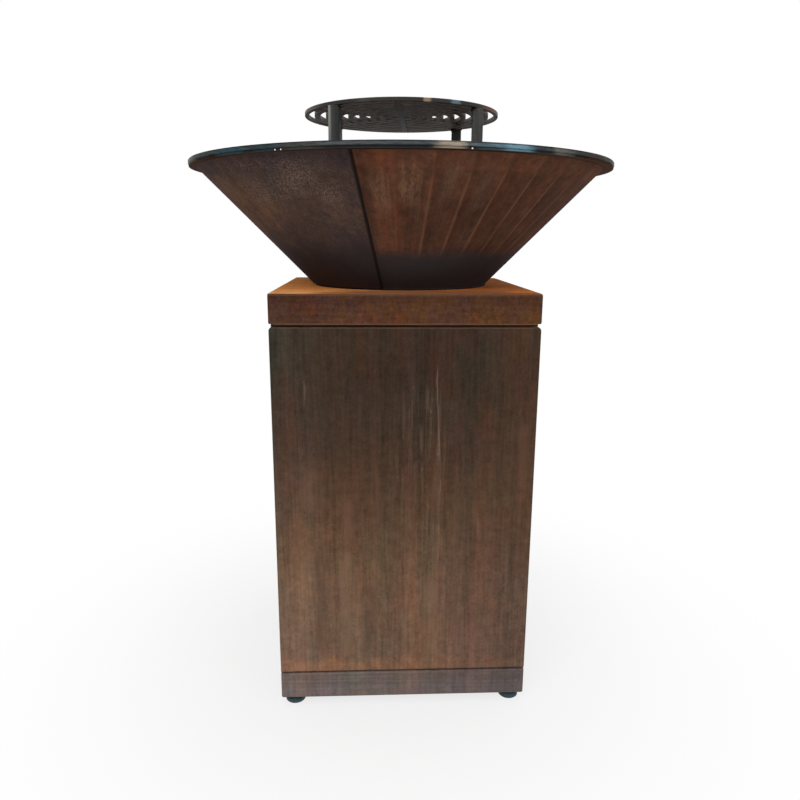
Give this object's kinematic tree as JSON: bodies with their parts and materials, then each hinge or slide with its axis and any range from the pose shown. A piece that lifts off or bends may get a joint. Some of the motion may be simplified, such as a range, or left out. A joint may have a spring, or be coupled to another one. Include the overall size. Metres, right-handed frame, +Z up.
{
  "type": "brazier",
  "caption": "Garden brazier: conical fire bowl with a cooking ring and a raised grate, on a square weathered steel pedestal with a wood store behind a door.",
  "frame": {"origin": "on the floor under the middle of the pedestal", "axes": "+Z up, -Y the front with the door, +X to the right seen from the front"},
  "size_m": [0.7999, 0.8, 1.118],
  "materials": {
    "door_rust": "weathered steel with a dense brown rust skin, matt",
    "side_rust": "weathered steel with a dense brown rust skin, matt",
    "cap_rust": "weathered steel with a dense brown rust skin, matt",
    "plinth_rust": "weathered steel with a dense brown rust skin, matt",
    "inner_rust": "weathered steel with a dense brown rust skin, matt",
    "bowl_smooth_rust": "weathered steel with a dense brown rust skin, matt",
    "bowl_creased_rust": "weathered steel with a dense brown rust skin, matt",
    "bowl_soot": "sooty rusted steel, matt",
    "seasoned_steel": "thick steel blackened by oil and heat, satin",
    "grill_steel": "cut steel plate darkened by fire, satin",
    "zinc": "zinc plated",
    "brass": "turned brass",
    "foot_rubber": "moulded rubber, matt",
    "magnet_black": "moulded, matt"
  },
  "bodies": {
    "pedestal": {"plinth": "plinth_rust", "side_panel_left": "side_rust", "side_panel_right": "side_rust", "back_panel": "side_rust", "back_panel_screws": "zinc", "roof_plate": "inner_rust", "cap_collar": "inner_rust", "cap": "cap_rust", "hinge_pin_top": "zinc", "hinge_pin_bottom": "zinc", "hinge_washer": "brass", "catch_magnet": "magnet_black", "foot_weld_nuts": "zinc", "foot_lock_nuts": "zinc", "foot_gusset_front_left": "inner_rust", "foot_gusset_front_right": "inner_rust", "foot_gusset_rear_left": "inner_rust", "foot_gusset_rear_right": "inner_rust"},
    "door": {"door_panel": "door_rust", "door_bush_top": "brass", "door_bush_bottom": "brass", "strike_bracket": "zinc"},
    "fire_bowl": {"bowl_sheet_smooth": "bowl_smooth_rust", "bowl_sheet_creased": "bowl_creased_rust", "bowl_floor": "bowl_soot", "bowl_spigot": "bowl_soot", "bowl_rim_ring": "bowl_soot"},
    "cooking_ring": {"cooking_plate": "seasoned_steel", "plate_fin_front": "bowl_soot", "plate_fin_rear": "bowl_soot", "plate_fin_left": "bowl_soot", "plate_fin_right": "bowl_soot"},
    "grill": {"grill_grate": "grill_steel", "grill_leg_front_left": "grill_steel", "grill_leg_front_right": "grill_steel", "grill_leg_rear_left": "grill_steel", "grill_leg_rear_right": "grill_steel"},
    "foot_front_left": {"foot_pad_front_left": "foot_rubber", "foot_stud_front_left": "zinc"},
    "foot_front_right": {"foot_pad_front_right": "foot_rubber", "foot_stud_front_right": "zinc"},
    "foot_rear_left": {"foot_pad_rear_left": "foot_rubber", "foot_stud_rear_left": "zinc"},
    "foot_rear_right": {"foot_pad_rear_right": "foot_rubber", "foot_stud_rear_right": "zinc"}
  },
  "joints": [
    {"name": "door_hinge", "type": "hinge", "parent": "pedestal", "child": "door", "pos_m": [0.226, -0.226, 0.4055], "axis": [0, 0, 1], "range_deg": [0, 110]},
    {"name": "bowl_lift", "type": "slide", "parent": "pedestal", "child": "fire_bowl", "axis": [0, 0, 1], "range_m": [0, 0.06]},
    {"name": "cooking_ring_lift", "type": "slide", "parent": "fire_bowl", "child": "cooking_ring", "axis": [0, 0, 1], "range_m": [0, 0.05]},
    {"name": "grill_lift", "type": "slide", "parent": "cooking_ring", "child": "grill", "axis": [0, 0, 1], "range_m": [0, 0.1]},
    {"name": "foot_front_left_height", "type": "slide", "parent": "pedestal", "child": "foot_front_left", "axis": [0, 0, -1], "range_m": [-0.006, 0.015]},
    {"name": "foot_front_right_height", "type": "slide", "parent": "pedestal", "child": "foot_front_right", "axis": [0, 0, -1], "range_m": [-0.006, 0.015]},
    {"name": "foot_rear_left_height", "type": "slide", "parent": "pedestal", "child": "foot_rear_left", "axis": [0, 0, -1], "range_m": [-0.006, 0.015]},
    {"name": "foot_rear_right_height", "type": "slide", "parent": "pedestal", "child": "foot_rear_right", "axis": [0, 0, -1], "range_m": [-0.006, 0.015]}
  ]
}
